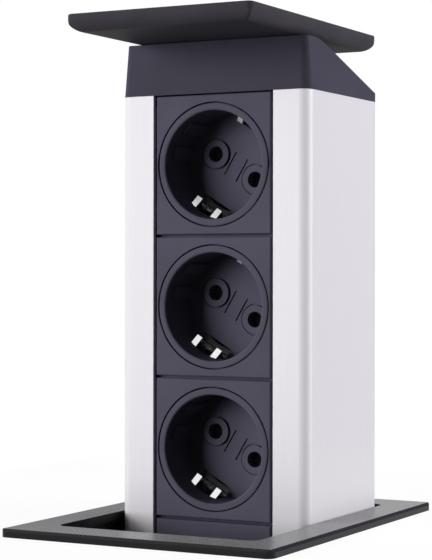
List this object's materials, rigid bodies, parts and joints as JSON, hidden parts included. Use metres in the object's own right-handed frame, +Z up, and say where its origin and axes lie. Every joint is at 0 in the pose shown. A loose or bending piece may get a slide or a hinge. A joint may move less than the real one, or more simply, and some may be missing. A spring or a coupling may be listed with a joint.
{
  "type": "pop up desk socket",
  "caption": "Pull-up desk socket tower: an aluminium column with earthed round sockets slides up through a desk flange, under a black head with a tilting lid.",
  "frame": {"origin": "Centre of the flange hole, in the plane of the flange's underside, which lies on the desk top", "axes": "+Z up out of the desk, -Y to the front that the sockets face, +X to the right seen from the front"},
  "size_m": [0.1432, 0.14, 0.4304],
  "materials": {
    "flange_plastic": "satin black moulded plastic",
    "shaft_plastic": "matt black moulded plastic",
    "rail_plastic": "matt dark grey sliding plastic",
    "panel_plastic": "fine grained anthracite plastic",
    "head_plastic": "fine grained anthracite plastic",
    "lid_plastic": "fine grained anthracite plastic",
    "base_plastic": "black thermoset",
    "shutter_plastic": "grey moulded plastic",
    "column_aluminium": "satin anodised",
    "bracket_steel": "zinc plated sheet steel",
    "screw_steel": "zinc plated",
    "spring_steel": "spring wire",
    "clip_steel": "nickel plated spring strip",
    "contact_brass": "rolled brass",
    "rubber": "soft black rubber",
    "felt": "pressed felt"
  },
  "bodies": {
    "base": {"flange_frame": "flange_plastic", "flange_screws": "screw_steel", "shaft_left": "shaft_plastic", "shaft_right": "shaft_plastic", "shaft_rivets": "screw_steel", "guide_rail_left": "rail_plastic", "guide_rail_right": "rail_plastic", "rail_screws": "screw_steel", "felt_pads": "felt", "shaft_floor": "shaft_plastic", "floor_screws": "screw_steel", "floor_bumpers": "rubber", "mounting_bracket_left": "bracket_steel", "mounting_bracket_right": "bracket_steel", "bracket_bolts": "screw_steel"},
    "column": {"column_profile": "column_aluminium", "column_head": "head_plastic", "head_screws": "screw_steel", "column_foot": "rail_plastic", "foot_screws": "screw_steel", "cable_grommet": "rubber", "blank_panel": "panel_plastic", "socket_plate_1": "panel_plastic", "socket_plate_2": "panel_plastic", "socket_plate_3": "panel_plastic", "socket_cup_1": "panel_plastic", "socket_cup_2": "panel_plastic", "socket_cup_3": "panel_plastic", "pin_disc_1": "panel_plastic", "pin_disc_2": "panel_plastic", "pin_disc_3": "panel_plastic", "shutter_spring_1": "spring_steel", "shutter_spring_2": "spring_steel", "shutter_spring_3": "spring_steel", "contact_base_1": "base_plastic", "contact_base_2": "base_plastic", "contact_base_3": "base_plastic", "pin_contacts_1": "contact_brass", "pin_contacts_2": "contact_brass", "pin_contacts_3": "contact_brass", "earth_clip_1": "clip_steel", "earth_clip_2": "clip_steel", "earth_clip_3": "clip_steel", "live_bar": "contact_brass", "neutral_bar": "contact_brass", "earth_bar": "contact_brass", "terminal_block": "base_plastic", "terminal_screws": "screw_steel", "hinge_pin": "screw_steel", "lid_springs": "spring_steel"},
    "lid": {"lid_plate": "lid_plastic"},
    "upper_shutter": {"shutter_1": "shutter_plastic"},
    "middle_shutter": {"shutter_2": "shutter_plastic"},
    "lower_shutter": {"shutter_3": "shutter_plastic"}
  },
  "joints": [
    {"name": "column_slide", "type": "slide", "parent": "base", "child": "column", "axis": [0, 0, 1], "range_m": [-0.1793, 0]},
    {"name": "lid_tilt", "type": "hinge", "parent": "column", "child": "lid", "pos_m": [0, 0.00008, 0.172], "axis": [-1, 0, 0], "range_deg": [0, 17.5], "stiffness_Nm_per_rad": 0.12, "springref_deg": -20.05, "deforming": ["lid_springs"]},
    {"name": "upper_shutter_turn", "type": "hinge", "parent": "column", "child": "upper_shutter", "pos_m": [0, 0, 0.13085], "axis": [0, -1, 0], "range_deg": [0, 40], "stiffness_Nm_per_rad": 0.002, "springref_deg": -17.19, "deforming": ["shutter_spring_1"]},
    {"name": "middle_shutter_turn", "type": "hinge", "parent": "column", "child": "middle_shutter", "pos_m": [0, 0, 0.07935], "axis": [0, -1, 0], "range_deg": [0, 40], "stiffness_Nm_per_rad": 0.002, "springref_deg": -17.19, "deforming": ["shutter_spring_2"]},
    {"name": "lower_shutter_turn", "type": "hinge", "parent": "column", "child": "lower_shutter", "pos_m": [0, 0, 0.02785], "axis": [0, -1, 0], "range_deg": [0, 40], "stiffness_Nm_per_rad": 0.002, "springref_deg": -17.19, "deforming": ["shutter_spring_3"]}
  ]
}
